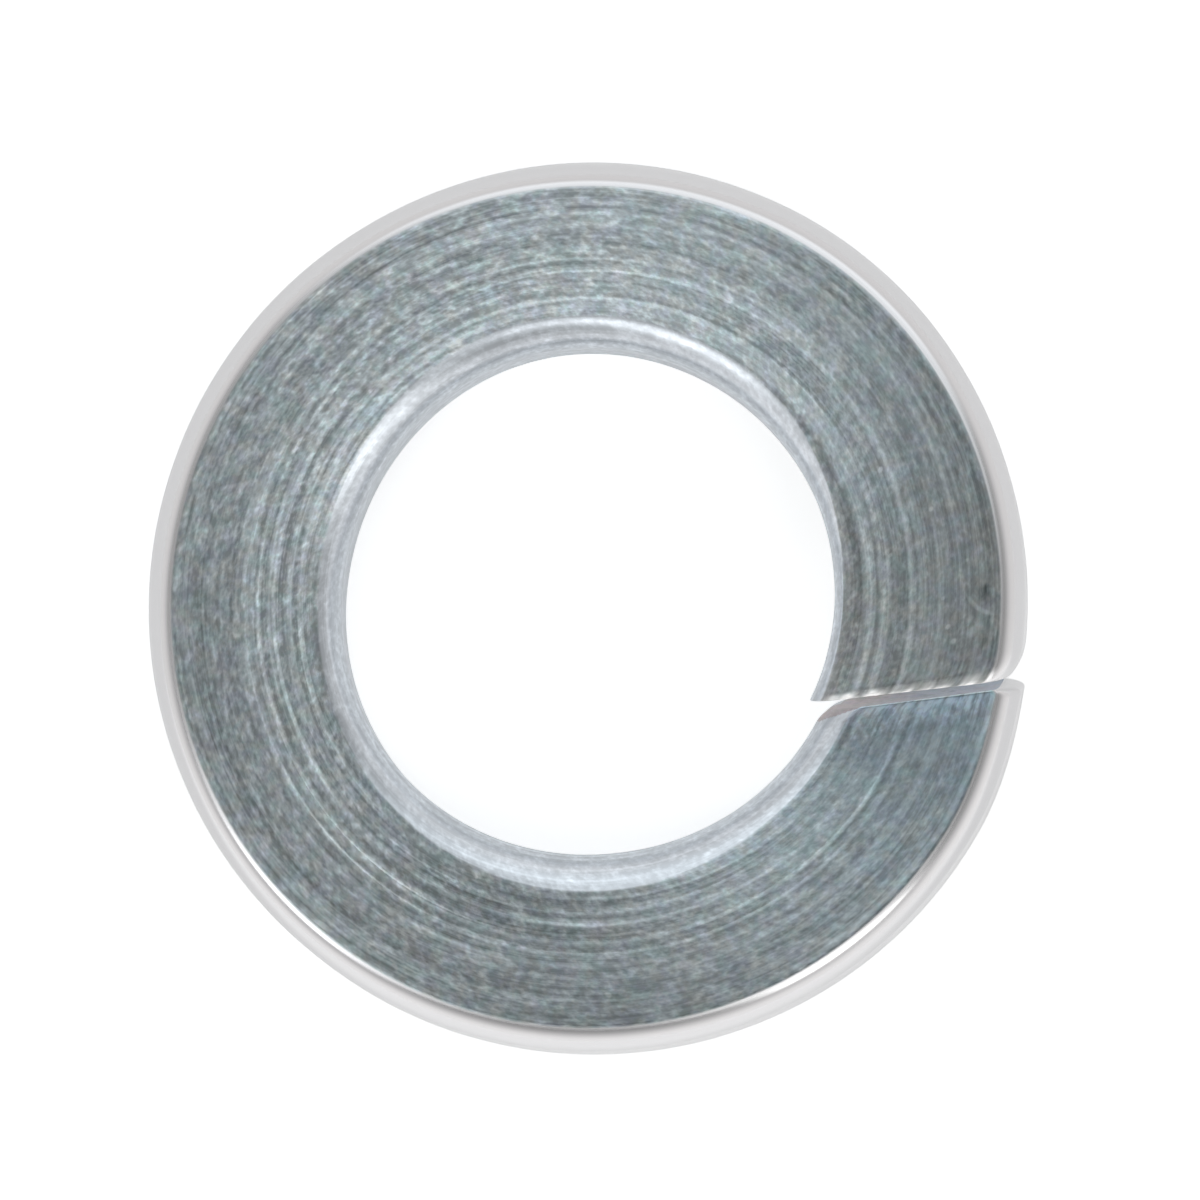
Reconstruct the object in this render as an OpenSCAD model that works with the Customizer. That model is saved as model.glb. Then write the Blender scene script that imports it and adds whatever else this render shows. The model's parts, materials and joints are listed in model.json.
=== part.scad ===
// Spring lock washer. One turn of flat drawn wire is wound left-handed round an upright
// axis, so its two sheared ends stand one above the other at the split.
// Millimetres, +Z up. The origin lies on the axis of the bore, half way up the coil,
// and the split faces +X.

/* [Ring] */
// Diameter of the bore that the screw passes through
bore_d = 6.4; // [5.4:0.1:7.8]
// Width of the wire across the ring, from the bore to the rim
wire_w = 2.5; // [1.9:0.1:3.2]
// Thickness of the wire, from its lower face to its upper face
wire_t = 1.6; // [1.3:0.1:2.2]
// Height that the wire climbs on its way round, from its lower end to its upper end
climb = 1.9; // [1.2:0.1:2.6]

/* [Wire edges] */
// Width of the rounding along the two rim edges, taken off each flat face
rim_edge_w = 0.32; // [0.1:0.01:0.4]
// Height of that rounding, taken off the rim
rim_edge_h = 0.4; // [0.1:0.05:0.6]
// Width of the softer rounding along the two bore edges, taken off each flat face
bore_edge_w = 0.47; // [0.3:0.01:0.6]
// Height of that rounding, taken off the bore
bore_edge_h = 0.45; // [0.3:0.05:0.6]
// Depth that sizing the bore takes off the inner side of the wire
bore_skim = 0.05; // [0.02:0.01:0.12]

/* [Split] */
// Gap between the two sheared faces, square to them
split_gap = 0.28; // [0.16:0.02:0.9]
// Angle between the cut and the radius of the ring, seen from above
cut_slant = 20.5; // [0:0.5:24]
// Lean of the cut from upright, which makes the upper end hang over the gap
cut_lean = 10; // [0:1:18]

/* [Corners rolled by the shear] */
// Depth that the rim corner of the upper end is drawn back, towards the bore
upper_rim_roll = 0.18; // [0.04:0.02:0.4]
// Length of wire over which it is drawn back
upper_rim_run = 0.34; // [0.1:0.02:0.6]
// Depth that the rim corner of the lower end is drawn back, towards the bore
lower_rim_roll = 0.28; // [0.04:0.02:0.4]
// Length of wire over which it is drawn back
lower_rim_run = 0.1; // [0.04:0.02:0.18]
// Depth that the bore corner of the lower end is pushed back, towards the rim
lower_bore_roll = 0.14; // [0.04:0.02:0.3]
// Length of wire over which it is pushed back
lower_bore_run = 0.26; // [0.2:0.02:0.5]

/* [Lower end] */
// Distance that the rim draws in towards the lower end, where the wire is narrower
rim_draw = 0.08; // [0:0.01:0.15]
// Angle of the ring over which the rim draws in
rim_draw_arc = 22; // [10:2:40]

/* [Upper end] */
// Distance that the upper end is tucked in towards the axis
tuck_in = 0.06; // [0:0.02:0.2]
// Angle of the ring over which the tuck sets in
tuck_arc = 75; // [30:5:120]

/* [Hidden] */

// Facets: sections round the coil, and steps in each kind of rounded corner
coil_steps = 120;
rim_steps = 5;
bore_steps = 6;
roll_steps = 5;
// How fast the lower end's rim corner, as the shear rolled it, fades towards the bore
rim_corner_power = 4;

bore_r = bore_d / 2;
rim_r = bore_r + wire_w;
mid_r = bore_r + wire_w / 2;
wound_r = bore_r - bore_skim;
half_t = wire_t / 2;

// Each end stops short of the middle of the split, or passes it, by this much square to the
// cut in plan: half the gap, less what the lean of the cut carries it back at that end's height
end_offset = split_gap / (2 * cos(cut_lean)) - climb / 2 * tan(cut_lean);
end_angle = asin(end_offset / (mid_r * cos(cut_slant)));
coil_angle = 360 - 2 * end_angle;
coil_length = mid_r * coil_angle * PI / 180;
climb_per_degree = climb / coil_angle;

// The inner corner of each kind of rounding: distance from the axis, and height
rim_core = [rim_r - rim_edge_w, half_t - rim_edge_h];
bore_core = [wound_r + bore_edge_w, half_t - bore_edge_h];

// A quarter of an ellipse about a corner of the wire's outline, anticlockwise from the given angle
function quarter(core, width, height, start, steps) = [
    for (i = [0:steps])
        let (a = start + 90 * i / steps)
            core + [width * cos(a), height * sin(a)]
];

// The outline of the wire: distance from the axis, and height over its own middle
wire_outline = concat(
    quarter(rim_core, rim_edge_w, rim_edge_h, 0, rim_steps),
    quarter(bore_core, bore_edge_w, bore_edge_h, 90, bore_steps),
    quarter([bore_core[0], -bore_core[1]], bore_edge_w, bore_edge_h, 180, bore_steps),
    quarter([rim_core[0], -rim_core[1]], rim_edge_w, rim_edge_h, 270, rim_steps)
);

// Distances from an end at which a corner rolled over a given run needs a section, from 0 to the run
function rolled_places(run) = [for (i = [0:roll_steps]) run * (1 - cos(90 * i / roll_steps))];

// Places of the sections along the wire, as distances from the lower end: close together
// where the corners are rolled, and evenly spaced between
lower_places = rolled_places(lower_rim_run);
upper_places = rolled_places(upper_rim_run);
second_run = lower_bore_run - lower_rim_run;
plain_length = coil_length - lower_bore_run - upper_rim_run;
places = concat(
    lower_places,
    [for (i = [1:roll_steps]) lower_rim_run + second_run * i / roll_steps],
    [for (i = [1:coil_steps - 1]) lower_bore_run + plain_length * i / coil_steps],
    [for (i = [roll_steps:-1:0]) coil_length - upper_places[i]]
);

// How far a rolled corner stands back at a given distance from its end: a quarter of an ellipse
function roll_back(from_end, roll, run) =
    from_end < run ? roll * (1 - sqrt(1 - ((run - from_end) / run) ^ 2)) : 0;

// How far a change that spans an arc has set in at a given angle from its end, from 1 there to 0
function set_in(from_end, arc) =
    from_end < arc ? (1 + cos(180 * from_end / arc)) / 2 : 0;

// Distance from the axis of a point of the wire at a given place along it
function bent_radius(radius, place) =
    let (across = (radius - wound_r) / (rim_r - wound_r))
    let (from_upper = coil_length - place)
    let (degrees = place / coil_length * coil_angle)
    let (upper_pull = across * roll_back(from_upper, upper_rim_roll, upper_rim_run))
    let (lower_pull = across ^ rim_corner_power * roll_back(place, lower_rim_roll, lower_rim_run))
    let (draw = across * rim_draw * set_in(degrees, rim_draw_arc))
    let (bore_push = (1 - across) * roll_back(place, lower_bore_roll, lower_bore_run))
    let (tuck = tuck_in * set_in(coil_angle - degrees, tuck_arc))
        radius - upper_pull - lower_pull - draw + bore_push - tuck;

// Angle by which a point of the wire leads the middle of its section, so that every section
// is a flat cut with the slant and lean of the sheared ends
function lead_angle(radius, height) =
    cut_slant - asin((mid_r * sin(cut_slant) + height * tan(cut_lean)) / radius);

// The point of the wire at a given place along it and a given spot of its outline
function coil_point(place, spot) =
    let (share = place / coil_length)
    let (radius = bent_radius(spot[0], place))
    let (first_lead = lead_angle(radius, spot[1]))
    let (lead = lead_angle(radius, spot[1] - climb_per_degree * first_lead))
    let (angle = lead - end_angle - coil_angle * share)
    let (height = spot[1] + climb * (share - 0.5) - climb_per_degree * lead)
        [radius * cos(angle), radius * sin(angle), height];

// The wound wire, with its bore not yet sized
module wound_wire() {
    sides = len(wire_outline);
    last = (len(places) - 1) * sides;
    points = [for (place = places) for (spot = wire_outline) coil_point(place, spot)];
    walls = [
        for (ring = [0:sides:last - sides])
            for (i = [0:sides - 1])
                let (next = (i + 1) % sides)
                    each [
                        [ring + i, ring + sides + i, ring + sides + next],
                        [ring + i, ring + sides + next, ring + next]
                    ]
    ];
    lower_end = [for (i = [0:sides - 1]) i];
    upper_end = [for (i = [sides - 1:-1:0]) last + i];
    polyhedron(points = points, faces = concat(walls, [lower_end, upper_end]));
}

// The washer: the wound wire, with its bore sized to a true cylinder
module lock_washer() {
    color([0.62, 0.66, 0.67])
        difference() {
            wound_wire();
            cylinder(h = climb + 2 * wire_t, r = bore_r, center = true, $fn = 180);
        }
}

lock_washer();
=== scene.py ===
"""The looks of a spring lock washer: bright zinc plate on one turn of flat drawn spring wire.

The washer is one closed surface, worked out in millimetres as a straight wire whose section is then
bent round the bore. The straight wire's own coordinates stay on the mesh as an attribute, so the marks
that drawing left follow the wire round the ring.
"""

import json
import logging
import math
from dataclasses import dataclass, field
from enum import Enum

import bpy
import numpy as np
from mathutils import Matrix, Vector


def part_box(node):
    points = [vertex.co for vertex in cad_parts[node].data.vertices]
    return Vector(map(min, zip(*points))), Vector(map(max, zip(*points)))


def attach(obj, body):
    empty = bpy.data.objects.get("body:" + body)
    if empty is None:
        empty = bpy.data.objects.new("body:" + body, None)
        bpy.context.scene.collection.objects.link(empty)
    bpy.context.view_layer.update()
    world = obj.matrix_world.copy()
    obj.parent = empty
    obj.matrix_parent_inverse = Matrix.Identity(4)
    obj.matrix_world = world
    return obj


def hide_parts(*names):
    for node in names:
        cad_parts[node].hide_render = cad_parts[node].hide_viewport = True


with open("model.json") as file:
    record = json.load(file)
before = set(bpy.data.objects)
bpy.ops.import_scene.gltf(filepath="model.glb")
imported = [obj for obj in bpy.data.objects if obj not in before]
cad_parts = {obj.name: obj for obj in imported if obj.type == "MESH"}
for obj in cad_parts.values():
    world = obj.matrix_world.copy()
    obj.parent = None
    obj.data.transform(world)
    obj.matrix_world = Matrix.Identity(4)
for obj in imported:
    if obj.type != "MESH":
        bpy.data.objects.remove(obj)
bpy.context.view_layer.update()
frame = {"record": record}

MM = 0.001
NODE = "lock_washer"
WIRE_COORDINATES = "wire"
POLISH = "polish"
# Painted light and shade, as a share that multiplies the plate's colour.
PAINTED_SHEEN = "painted_sheen"
# How torn the plate is, which also sets its painted glints.
TORN_AND_GLINT = "torn"

Colour = tuple[float, float, float]
Span = tuple[float, float]
log = logging.getLogger("lock_washer")


def unit(vector: np.ndarray) -> np.ndarray:
    """The vector at length 1."""
    return vector / np.linalg.norm(vector)


def smooth(share: np.ndarray) -> np.ndarray:
    """An even S-shaped rise from 0 to 1, flat at both ends, over shares from 0 to 1."""
    held = np.clip(share, 0.0, 1.0)
    return held * held * (3.0 - 2.0 * held)


def direction(azimuth_deg: float, lean_deg: float) -> np.ndarray:
    """A unit vector that leans from +Z towards an azimuth.

    Args:
        azimuth_deg: Direction of the lean, anticlockwise from +X.
        lean_deg: Angle between the vector and +Z.

    Returns:
        The vector's three parts.
    """
    azimuth, lean = math.radians(azimuth_deg), math.radians(lean_deg)
    flat = math.sin(lean)
    return np.array([flat * math.cos(azimuth), flat * math.sin(azimuth), math.cos(lean)])


def ring_quads(rings: int, sides: int) -> np.ndarray:
    """The four-sided faces between rings of points that are listed one ring after another.

    Args:
        rings: Number of rings.
        sides: Number of points in each ring.

    Returns:
        Rows of four point numbers.
    """
    start = np.arange(rings - 1)[:, None] * sides
    spot = np.arange(sides)[None, :]
    after = (spot + 1) % sides
    quads = np.stack([start + spot, start + sides + spot, start + sides + after, start + after], axis=-1)
    return quads.reshape(-1, 4)


class WireEnd(Enum):
    """The two sheared ends of the wire."""

    LOW = "low"
    HIGH = "high"


@dataclass(frozen=True)
class Groove:
    """A line that the drawing die left along the upper face of the wire.

    Attributes:
        radius: Distance from the axis of the ring, in mm.
        depth: Depth under the face, in mm.
        half_width: Distance from its middle at which it has faded, in mm.
        light: Share by which a painted highlight along it brightens the plate.
        at: Where round the ring it is clearest, as a share of the turn from the low end.
        reach: Share of the turn from there at which it has faded.
    """

    radius: float
    depth: float
    half_width: float
    light: float
    at: float
    reach: float

    def strength(self, turns: np.ndarray) -> np.ndarray:
        """How clear it is along the wire: a swell that fades, with slow and quick waves on it.

        Args:
            turns: Place of each point along the wire, as a share of the turn.

        Returns:
            The strength at each point, from 0 to 1.
        """
        quick_waves, slow_waves, held = 7.3, 2.9, 0.25
        quick = np.sin(2.0 * math.pi * (quick_waves * turns + 2.6 * self.radius))
        slow = np.sin(2.0 * math.pi * (slow_waves * turns + 1.7 * self.radius))
        fade = smooth(1.0 + held - np.abs(turns - self.at) / self.reach)
        return fade * (0.74 + 0.16 * slow + 0.1 * quick)

    def height(self, radius: np.ndarray, turns: np.ndarray) -> np.ndarray:
        """Height that the line adds: a bell with a raised lip on each side, fading along the wire.

        Args:
            radius: Distance of each point from the axis, in mm.
            turns: Place of each point along the wire, as a share of the turn.

        Returns:
            The height at each point, in mm.
        """
        lip, steepness = 1.2, 1.6
        across = (radius - self.radius) / self.half_width
        bell = (1.0 - lip * across**2) * np.exp(-steepness * across**2)
        return -self.depth * bell * self.strength(turns)

    def shine(self, radius: np.ndarray, turns: np.ndarray) -> np.ndarray:
        """Painted highlight of the line, as a share of the plate's brightness: a bell with a darker foot on
        each side.

        Args:
            radius: Distance of each point from the axis, in mm.
            turns: Place of each point along the wire, as a share of the turn.

        Returns:
            The share at each point.
        """
        foot, foot_at = 0.35, 2.0
        across = (radius - self.radius) / self.half_width
        bell = np.exp(-(across**2)) - foot * np.exp(-((np.abs(across) - foot_at) ** 2))
        return self.light * bell * self.strength(turns)


@dataclass(frozen=True)
class Bead:
    """A small bead of metal on the lip that the shear left.

    Attributes:
        radius: Distance from the axis of the ring, in mm.
        height: Its height, in mm.
        half_width: Distance from its middle at which it has mostly gone, in mm.
    """

    radius: float
    height: float
    half_width: float


@dataclass(frozen=True)
class Wave:
    """One even wave round the ring, of a distance in mm or of a share.

    Attributes:
        waves: Number of its waves in a whole turn.
        size: Its greatest value.
        at: Angle at which it is greatest, seen from above, in degrees.
    """

    waves: int
    size: float
    at: float

    def value(self, angle: np.ndarray) -> np.ndarray:
        """Its value at an angle seen from above, in degrees."""
        return self.size * np.cos(np.radians(self.waves * (angle - self.at)))


@dataclass(frozen=True)
class WireOutline:
    """The wire's cross-section, in mm: distance from the axis, and height over its own middle.

    Attributes:
        bore_r: Radius of the inner side.
        rim_r: Radius of the outer side.
        thickness: Height from the lower face to the upper face.
        rim_edge: Width and height of the rounding along the rim.
        rim_power: Power of that rounding's curve: 2 is an ellipse, and less is nearer to a flat bevel.
        bore_edge: Width and height of the softer rounding along the bore, an ellipse.
        marks: Radius and half width of each mark on the upper face, about which the points gather.
        edge_steps: Number of points on each rounding.
        face_steps: Number of evenly spaced points across the upper face.
        under_steps: Number of points across the lower face.
        wall_steps: Number of points down each side.
    """

    bore_r: float
    rim_r: float
    thickness: float
    rim_edge: tuple[float, float] = (0.35, 0.42)
    rim_power: float = 1.7
    bore_edge: tuple[float, float] = (0.46, 0.45)
    marks: tuple[tuple[float, float], ...] = ()
    edge_steps: int = 16
    face_steps: int = 46
    under_steps: int = 24
    wall_steps: int = 8

    def face_radii(self, outer: float, inner: float) -> np.ndarray:
        """Radii across the upper face, evenly spaced with more about each groove.

        Args:
            outer: Where the rim's rounding meets the face.
            inner: Where the bore's rounding meets the face.

        Returns:
            Falling radii from the outer one up to, and without, the inner one.
        """
        closest = 0.3 * min(half_width for _, half_width in self.marks)
        about = np.array([-1.6, -0.8, 0.0, 0.8, 1.6])
        marks = np.concatenate([radius + half_width * about for radius, half_width in self.marks])
        spread = np.linspace(inner, outer, self.face_steps)
        gap = np.abs(spread[:, None] - marks).min(axis=1)
        kept = np.sort(np.concatenate([spread[gap > closest], marks, [outer]]))
        inside = kept[(kept > inner + closest) & (kept <= outer)]
        apart = np.concatenate([[True], np.diff(inside) > closest])
        return inside[apart][::-1]

    def quarter(
        self, core: tuple[float, float], edge: tuple[float, float], start: float, power: float = 2.0
    ) -> np.ndarray:
        """A quarter of a rounded shape about a corner's core, without its last point.

        The cosine and sine of an even fan of angles, each raised to 2 over the power, times the
        rounding's width and height.

        Args:
            core: Centre of the rounding.
            edge: Its width and height.
            start: Angle of its first point, in degrees.
            power: Power of its curve, 2 for an ellipse.

        Returns:
            Points in rows.
        """
        angle = np.radians(start + 90.0 * np.arange(self.edge_steps) / self.edge_steps)
        fan = np.stack([np.cos(angle), np.sin(angle)], axis=1)
        return np.array(core) + np.array(edge) * np.sign(fan) * np.abs(fan) ** (2.0 / power)

    def points(self) -> tuple[np.ndarray, np.ndarray]:
        """The closed outline, anticlockwise from the top of the rim wall.

        Returns:
            The points in rows, and for each how far it has turned from the flat faces, from 0 to 1.
        """
        half = self.thickness / 2.0
        rim_core = (self.rim_r - self.rim_edge[0], half - self.rim_edge[1])
        bore_core = (self.bore_r + self.bore_edge[0], half - self.bore_edge[1])
        top = self.face_radii(rim_core[0], bore_core[0])
        under = np.linspace(bore_core[0], rim_core[0], self.under_steps, endpoint=False)
        bore_wall = np.linspace(bore_core[1], -bore_core[1], self.wall_steps, endpoint=False)
        rim_wall = np.linspace(-rim_core[1], rim_core[1], self.wall_steps, endpoint=False)
        below = (rim_core[0], -rim_core[1])
        turned = np.arange(self.edge_steps) / self.edge_steps
        stretches = [
            (self.quarter(rim_core, self.rim_edge, 0.0, self.rim_power), 1.0 - turned),
            (np.stack([top, np.full_like(top, half)], axis=1), np.zeros_like(top)),
            (self.quarter(bore_core, self.bore_edge, 90.0), turned),
            (np.stack([np.full_like(bore_wall, self.bore_r), bore_wall], axis=1), np.ones_like(bore_wall)),
            (self.quarter((bore_core[0], -bore_core[1]), self.bore_edge, 180.0), 1.0 - turned),
            (np.stack([under, np.full_like(under, -half)], axis=1), np.zeros_like(under)),
            (self.quarter(below, self.rim_edge, 270.0, self.rim_power), turned),
            (np.stack([np.full_like(rim_wall, self.rim_r), rim_wall], axis=1), np.ones_like(rim_wall)),
        ]
        return (np.concatenate([s[0] for s in stretches]), np.concatenate([s[1] for s in stretches]))


@dataclass
class LockWasher:
    """The washer: one turn of flat wire, wound left-handed, with a sheared end above the other.

    All sizes are in mm and all angles in degrees. Those from thickness to narrowing_arc are the
    solid part's own, apart from corner_width.

    Attributes:
        bore_r: Radius of the bore.
        rim_r: Radius of the rim.
        thickness: Thickness of the wire.
        climb: Height that the wire climbs on its way round.
        split_gap: Gap between the sheared faces, square to them.
        cut_slant: Angle between the cut and the radius, seen from above.
        cut_lean: Lean of the cut from upright.
        high_rim: Depth and length of the rim corner that the shear rolled on the high end.
        low_bore: Depth and length of the bore corner that it rolled on the low end.
        low_rim: Depth and length of the rim corner that it rolled on the low end.
        corner_width: Distance from the rim at which that corner has faded.
        tuck: Distance that the high end is tucked in towards the axis.
        tuck_arc: Angle of the ring over which the tuck sets in.
        narrowing: Distance by which the rim draws in towards the low end.
        narrowing_arc: Angle of the ring over which it does so.
        rim_inset: Distance that the rim stands in from the solid part's on average.
        rim_bends: How the rim is out of round.
        bore_bends: How the bore is out of round.
        face_shift: How the upper face lies off the middle of the wire.
        painted_sheens: Painted light and shade round the ring, as waves in the share that multiplies the
            plate's colour.
        inner_sheen: Share by which it is brighter towards the bore.
        inner_from: Where across the wire that starts, as a share of its width from the bore.
        inner_blend: Share of the width over which it sets in.
        inner_sheens: How that share changes round the ring.
        frayed: How torn the face is where the shear drew the high end down, from 0 to 1. The torn look is
            rougher and painted near white as glints.
        torn_lip: The same for the lip, where the beads are 1.
        low_light: Share of painted light at the low end's cut, where the high end overhangs it.
        low_light_run: Length of wire over which that fades.
        rim_onset: Share of the rim's rounding over which the face turns into burnished edge.
        bore_onset: The same for the bore's rounding.
        bore_start: Share of the bore's rounding that still looks like the face.
        bore_starts: How that share changes round the ring.
        bore_starts_run: Share of the turn from the low end over which those changes set in.
        high_start: How much greater the share is towards the high end.
        high_start_from: Share of the turn at which that sets in.
        high_start_run: Share of the turn over which it does so.
        dragged: Length and width of the low end's bore corner over which the shear's marks spread.
        edge: Radius that the plating gives the sheared edges.
        droop: Depth by which the shear drew the upper face down at the high end.
        droop_run: Length of wire over which it did so.
        burr: Height of the broken lip along that edge.
        burr_run: Length of wire that the lip stands on.
        beads: The beads on the lip.
        bright_bead: Height of a bead that is as torn, and as painted with glints, as can be.
        torn_depth: Depth of the torn part of a sheared face.
        torn_grain: Height of that part's grain.
        torn_from: Height over the middle of the wire at which it starts.
        torn_blend: Height over which the clean part turns into it.
        plain_stations: Number of evenly spaced sections along the wire.
        end_stations: Number of sections that close in on each end.
        edge_stations: Number of sections that turn over each sheared edge.
        end_zone: Length of wire at each end over which the sections close in.
        cap_rings: Number of rings that close each sheared end.
        cap_power: Power by which those rings gather towards the middle. At 1 they are even.
        swell: Greatest height of the wire's small swells.
        seed: Start of the random draws.
        grooves: The lines that drawing left along the upper face.
        points: The mesh's vertices, once it is built.
    """

    bore_r: float
    rim_r: float
    thickness: float = 1.6
    climb: float = 1.9
    split_gap: float = 0.28
    cut_slant: float = 20.5
    cut_lean: float = 10.0
    high_rim: tuple[float, float] = (0.18, 0.34)
    low_bore: tuple[float, float] = (0.14, 0.26)
    low_rim: tuple[float, float] = (0.28, 0.10)
    corner_width: float = 0.66
    tuck: float = 0.06
    tuck_arc: float = 75.0
    narrowing: float = 0.08
    narrowing_arc: float = 22.0
    rim_inset: float = 0.037
    rim_bends: tuple[Wave, ...] = (Wave(1, 0.036, -70.0), Wave(2, 0.005, 57.0))
    bore_bends: tuple[Wave, ...] = (Wave(1, 0.015, 80.0), Wave(2, 0.015, 80.0), Wave(3, 0.026, 4.0))
    face_shift: Wave = Wave(1, 0.05, -71.0)
    painted_sheens: tuple[Wave, ...] = (
        Wave(1, 0.280, 146.5),
        Wave(2, 0.173, -69.0),
        Wave(3, 0.083, -25.4),
        Wave(4, 0.028, -28.9),
        Wave(5, 0.035, 28.5),
    )
    inner_sheen: float = 0.205
    inner_from: float = 0.62
    inner_blend: float = 0.24
    inner_sheens: tuple[Wave, ...] = (
        Wave(1, 0.097, 150.4),
        Wave(2, 0.054, 27.9),
        Wave(3, 0.070, -44.6),
    )
    frayed: float = 0.34
    torn_lip: float = 0.7
    low_light: float = 1.5
    low_light_run: float = 1.0
    rim_onset: float = 0.30
    bore_onset: float = 0.16
    bore_start: float = 0.10
    bore_starts: Wave = Wave(2, 0.12, 24.0)
    bore_starts_run: float = 0.2
    high_start: float = 0.26
    high_start_from: float = 0.8
    high_start_run: float = 0.14
    dragged: tuple[float, float] = (0.24, 0.42)
    edge: float = 0.028
    droop: float = 0.025
    droop_run: float = 0.22
    burr: float = 0.003
    burr_run: float = 0.06
    beads: tuple[Bead, ...] = (
        Bead(3.49, 0.022, 0.06),
        Bead(3.65, 0.024, 0.06),
        Bead(3.95, 0.022, 0.06),
        Bead(4.06, 0.006, 0.04),
        Bead(4.42, 0.005, 0.04),
        Bead(4.68, 0.004, 0.04),
        Bead(5.17, 0.006, 0.10),
    )
    bright_bead: float = 0.02
    torn_depth: float = 0.016
    torn_grain: float = 0.006
    torn_from: float = 0.12
    torn_blend: float = 0.16
    plain_stations: int = 250
    end_stations: int = 24
    edge_stations: int = 5
    end_zone: float = 0.6
    cap_rings: int = 34
    cap_power: float = 1.1
    swell: float = 0.002
    seed: int = 11
    grooves: tuple[Groove, ...] = (
        Groove(5.32, 0.0020, 0.030, 0.20, 0.55, 0.26),
        Groove(5.15, 0.0014, 0.028, 0.14, 0.60, 0.24),
        Groove(5.03, 0.0014, 0.030, 0.15, 0.60, 0.28),
        Groove(4.88, 0.0012, 0.030, 0.16, 0.70, 0.40),
        Groove(4.74, 0.0018, 0.028, 0.15, 0.42, 0.28),
        Groove(4.58, 0.0014, 0.030, 0.20, 0.74, 0.28),
        Groove(4.43, 0.0036, 0.034, 0.42, 0.38, 0.44),
        Groove(4.27, 0.0040, 0.034, 0.46, 0.28, 0.66),
        Groove(4.05, 0.0030, 0.036, 0.34, 0.40, 0.40),
        Groove(3.90, 0.0034, 0.036, 0.38, 0.44, 0.60),
        Groove(3.73, 0.0028, 0.038, 0.32, 0.34, 0.34),
        Groove(4.22, 0.0030, 0.034, 0.24, 1.00, 0.16),
        Groove(3.87, 0.0040, 0.044, 0.32, 1.00, 0.14),
        Groove(3.70, 0.0030, 0.050, 0.34, 1.00, 0.14),
        Groove(3.52, 0.0030, 0.060, 0.30, 1.00, 0.13),
    )
    points: np.ndarray = field(init=False, repr=False)

    @property
    def mid_r(self) -> float:
        """Radius of the middle of the wire."""
        return (self.bore_r + self.rim_r) / 2.0

    @property
    def end_angle(self) -> float:
        """Angle between +X and the middle of each end's section, in radians.

        Its sine is half the gap, less what the lean takes off over half the climb, over the radius.

        Returns:
            The angle, which is below 0 where the two ends pass each other.
        """
        lean, slant = math.radians(self.cut_lean), math.radians(self.cut_slant)
        offset = self.split_gap / (2.0 * math.cos(lean)) - self.climb / 2.0 * math.tan(lean)
        return math.asin(offset / (self.mid_r * math.cos(slant)))

    @property
    def turn(self) -> float:
        """Angle of the ring that the wire covers, in radians."""
        return 2.0 * math.pi - 2.0 * self.end_angle

    @property
    def length(self) -> float:
        """Length of the middle of the wire."""
        return self.mid_r * self.turn

    @property
    def cap_shares(self) -> np.ndarray:
        """Size of each ring that closes a sheared end, from the edge in, as a share of the outline."""
        return (1.0 - np.arange(1, self.cap_rings + 1) / (self.cap_rings + 1.0)) ** self.cap_power

    def stations(self) -> np.ndarray:
        """Places of the sections along the wire, close together at its two ends.

        Each end starts with a quarter circle of the edge's radius, goes on with gaps that grow by an
        even ratio, and the rest is evenly spaced.

        Returns:
            Distances from the low end, rising.
        """
        turned = np.linspace(0.0, math.pi / 2.0, self.edge_stations)
        rounded = self.edge * (1.0 - np.cos(turned))
        past_edge = self.edge * 1.35
        growing = np.geomspace(past_edge, self.end_zone, self.end_stations)
        start = np.concatenate([rounded, growing])
        middle = np.linspace(self.end_zone, self.length - self.end_zone, self.plain_stations + 2)[1:-1]
        return np.concatenate([start, middle, self.length - start[::-1]])

    def edge_inset(self, from_end: np.ndarray) -> np.ndarray:
        """How far the outline draws in as it turns over the edge of a sheared end: a quarter circle."""
        left = np.clip(self.edge - from_end, 0.0, self.edge)
        return self.edge - np.sqrt(self.edge**2 - left**2)

    def roll(self, from_end: np.ndarray, size: tuple[float, float]) -> np.ndarray:
        """How far a rolled corner has drawn back at a distance from its end: a quarter of an ellipse.

        Args:
            from_end: Distance of each point from that end, along the wire.
            size: Depth and length of the corner.

        Returns:
            The distance at each point.
        """
        depth, run = size
        left = np.clip((run - from_end) / run, 0.0, 1.0)
        return depth * (1.0 - np.sqrt(1.0 - left**2))

    def bent_radius(self, radius: np.ndarray, place: np.ndarray) -> np.ndarray:
        """Distance from the axis once the wire is coiled, tucked, rolled at its corners and out of round.

        What moves the rim counts by a point's share of the way across the wire, and what moves the
        bore by the rest. The tuck moves both.

        Args:
            radius: Distance from the axis in the even coil.
            place: Distance along the wire from its low end.

        Returns:
            The distance that each point ends up with.
        """
        across = (radius - self.bore_r) / (self.rim_r - self.bore_r)
        from_high = self.length - place
        high_angle, low_angle = np.degrees(from_high / self.mid_r), np.degrees(place / self.mid_r)
        drawn = self.narrowing * smooth(1.0 - low_angle / self.narrowing_arc)
        corner = np.clip(1.0 - (self.rim_r - radius) / self.corner_width, 0.0, 1.0) ** 2
        pulled = self.roll(from_high, self.high_rim) + drawn
        tucked = self.tuck * smooth(1.0 - high_angle / self.tuck_arc)
        rim_bend = sum(bend.value(-low_angle) for bend in self.rim_bends)
        bore_bend = sum(bend.value(-low_angle) for bend in self.bore_bends)
        rim_side = across * (rim_bend - self.rim_inset - pulled)
        bore_side = (1.0 - across) * (bore_bend + self.roll(place, self.low_bore))
        return radius - tucked + rim_side + bore_side - corner * self.roll(place, self.low_rim)

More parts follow.
